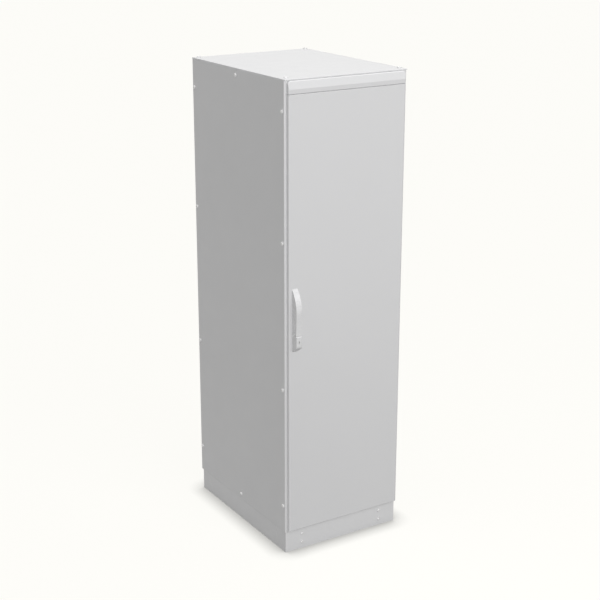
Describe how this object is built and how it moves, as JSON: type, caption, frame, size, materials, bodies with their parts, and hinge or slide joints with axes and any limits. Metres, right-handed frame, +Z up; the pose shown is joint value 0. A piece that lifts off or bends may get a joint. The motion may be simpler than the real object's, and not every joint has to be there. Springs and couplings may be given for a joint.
{
  "type": "floor-standing electrical cabinet",
  "caption": "Tall light-grey sheet-steel floor cabinet on a plinth, with screwed side panels, a flat roof with corner plugs, and one hinged front door with a pale swing handle.",
  "frame": {"origin": "on the floor, in the middle of the four floor-fixing holes of the plinth", "axes": "+X to the right as seen from the front, +Y from the door to the rear, +Z up"},
  "size_m": [0.61, 0.8416, 2.106],
  "materials": {
    "grey_powder_coat": "fine-textured satin powder coat",
    "plinth_coat": "satin powder coat",
    "zinc_plate": "dull zinc plating",
    "coated_screw": "coated screw heads",
    "bright_steel": "turned bright steel",
    "black_foam": "closed-cell foam",
    "black_plastic": "moulded plastic",
    "pale_plastic": "smooth satin plastic"
  },
  "bodies": {
    "cabinet": {"plinth_front": "plinth_coat", "plinth_rear": "plinth_coat", "plinth_side_left": "plinth_coat", "plinth_side_right": "plinth_coat", "plinth_screws": "coated_screw", "plinth_bolts": "zinc_plate", "base_frame": "grey_powder_coat", "roof_frame": "grey_powder_coat", "front_left_post": "grey_powder_coat", "front_right_post": "grey_powder_coat", "rear_left_post": "grey_powder_coat", "rear_right_post": "grey_powder_coat", "left_side_panel": "grey_powder_coat", "right_side_panel": "grey_powder_coat", "rear_panel": "grey_powder_coat", "left_panel_screws": "coated_screw", "right_panel_screws": "coated_screw", "rear_panel_screws": "coated_screw", "roof_panel": "grey_powder_coat", "roof_seal": "black_foam", "roof_plugs": "pale_plastic", "top_fascia": "grey_powder_coat", "front_floor_plate": "zinc_plate", "rear_floor_plate": "zinc_plate", "front_cable_seal": "black_foam", "rear_cable_seal": "black_foam", "floor_plate_screws": "zinc_plate", "equipment_plate": "zinc_plate", "lower_left_rail": "zinc_plate", "lower_right_rail": "zinc_plate", "upper_left_rail": "zinc_plate", "upper_right_rail": "zinc_plate", "equipment_plate_bolts": "zinc_plate", "frame_hinge_bottom": "zinc_plate", "frame_hinge_middle": "zinc_plate", "frame_hinge_top": "zinc_plate", "hinge_pin_bottom": "bright_steel", "hinge_pin_middle": "bright_steel", "hinge_pin_top": "bright_steel", "hinge_screws": "zinc_plate", "top_keeper": "zinc_plate", "bottom_keeper": "zinc_plate"},
    "door": {"door_panel": "grey_powder_coat", "door_stiffener": "zinc_plate", "door_seal": "black_foam", "door_hinge_bottom": "zinc_plate", "door_hinge_middle": "zinc_plate", "door_hinge_top": "zinc_plate", "handle_base": "pale_plastic", "handle_screws": "zinc_plate", "lock_case": "zinc_plate", "rod_guides": "black_plastic"},
    "swivel": {"handle_head": "pale_plastic", "handle_pin": "bright_steel", "lock_spindle": "bright_steel", "lock_pinion": "bright_steel"},
    "lever": {"handle_lever": "pale_plastic"},
    "barrel": {"lock_barrel": "bright_steel"},
    "upper_rod_body": {"upper_rod": "zinc_plate"},
    "lower_rod_body": {"lower_rod": "zinc_plate"}
  },
  "joints": [
    {"name": "door_swing", "type": "hinge", "parent": "cabinet", "child": "door", "pos_m": [0.2875, -0.397, 1.0735], "axis": [0, 0, 1], "range_deg": [0, 120]},
    {"name": "handle_turn", "type": "hinge", "parent": "door", "child": "swivel", "pos_m": [-0.259, -0.408, 1.195], "axis": [0, -1, 0], "range_deg": [0, 90]},
    {"name": "handle_lift", "type": "hinge", "parent": "swivel", "child": "lever", "pos_m": [-0.259, -0.432, 1.17], "axis": [-1, 0, 0], "range_deg": [0, 40]},
    {"name": "key_turn", "type": "hinge", "parent": "door", "child": "barrel", "pos_m": [-0.259, -0.43, 1.003], "axis": [0, -1, 0], "range_deg": [0, 90]},
    {"name": "upper_rod_slide", "type": "slide", "parent": "door", "child": "upper_rod_body", "axis": [0, 0, -1], "range_m": [0, 0.011]},
    {"name": "lower_rod_slide", "type": "slide", "parent": "door", "child": "lower_rod_body", "axis": [0, 0, 1], "range_m": [0, 0.011]}
  ],
  "couplings": [
    {"joint": "upper_rod_slide", "follows": "handle_turn", "m_per_rad": 0.007},
    {"joint": "lower_rod_slide", "follows": "handle_turn", "m_per_rad": 0.007}
  ]
}
